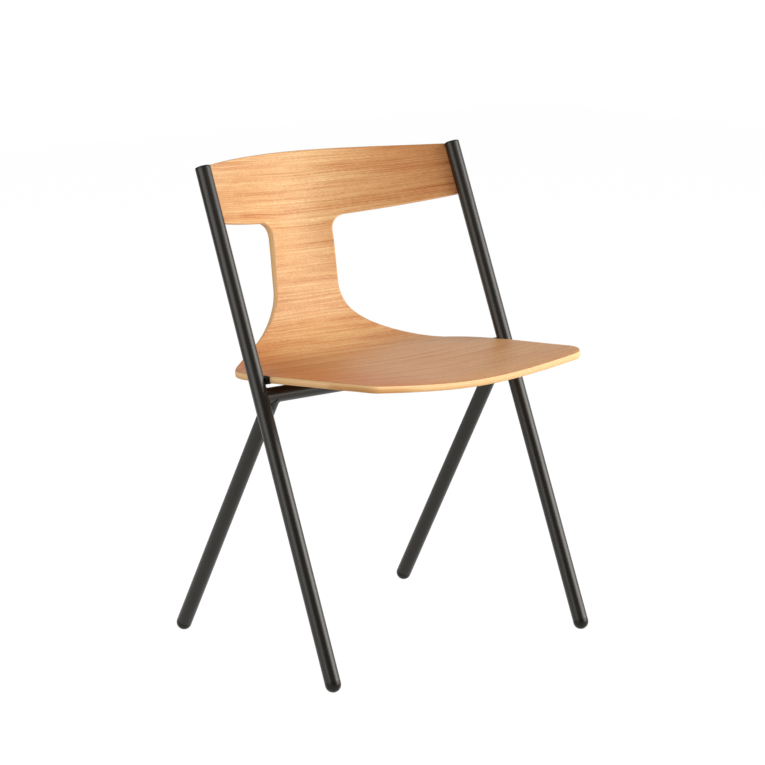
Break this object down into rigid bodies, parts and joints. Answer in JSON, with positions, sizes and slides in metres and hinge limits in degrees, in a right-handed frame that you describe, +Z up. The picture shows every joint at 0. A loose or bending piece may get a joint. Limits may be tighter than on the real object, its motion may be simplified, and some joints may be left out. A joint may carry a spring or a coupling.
{
  "type": "nesting chair",
  "caption": "Stacking chair with a one-piece moulded plywood seat and back on a frame of leaning round black steel tubes.",
  "frame": {"origin": "on the floor under the middle of the chair's bounding box", "axes": "+Z up, the sitter faces -Y, the sitter's left is +X"},
  "size_m": [0.5534, 0.5016, 0.7845],
  "materials": {
    "plywood": "satin clear lacquer over light veneer",
    "tube_paint": "semi-gloss black powder coat",
    "black_plastic": "satin black moulded",
    "fastener_steel": "zinc plated"
  },
  "bodies": {
    "root": {"seat_back_shell": "plywood", "side_tube_left": "tube_paint", "side_tube_right": "tube_paint", "rear_leg_left": "tube_paint", "rear_leg_right": "tube_paint", "seat_rail": "tube_paint", "seat_strap_left": "tube_paint", "seat_strap_right": "tube_paint", "back_tongue_left": "tube_paint", "back_tongue_right": "tube_paint", "top_plug_left": "black_plastic", "top_plug_right": "black_plastic", "glide_front_left": "black_plastic", "glide_front_right": "black_plastic", "glide_rear_left": "black_plastic", "glide_rear_right": "black_plastic", "side_block_left": "black_plastic", "side_block_right": "black_plastic", "back_screw_upper_left": "fastener_steel", "back_screw_lower_left": "fastener_steel", "back_screw_upper_right": "fastener_steel", "back_screw_lower_right": "fastener_steel", "seat_screw_front_left": "fastener_steel", "seat_screw_rear_left": "fastener_steel", "seat_screw_front_right": "fastener_steel", "seat_screw_rear_right": "fastener_steel", "seat_insert_front_left": "fastener_steel", "seat_insert_rear_left": "fastener_steel", "seat_insert_front_right": "fastener_steel", "seat_insert_rear_right": "fastener_steel"}
  },
  "joints": []
}
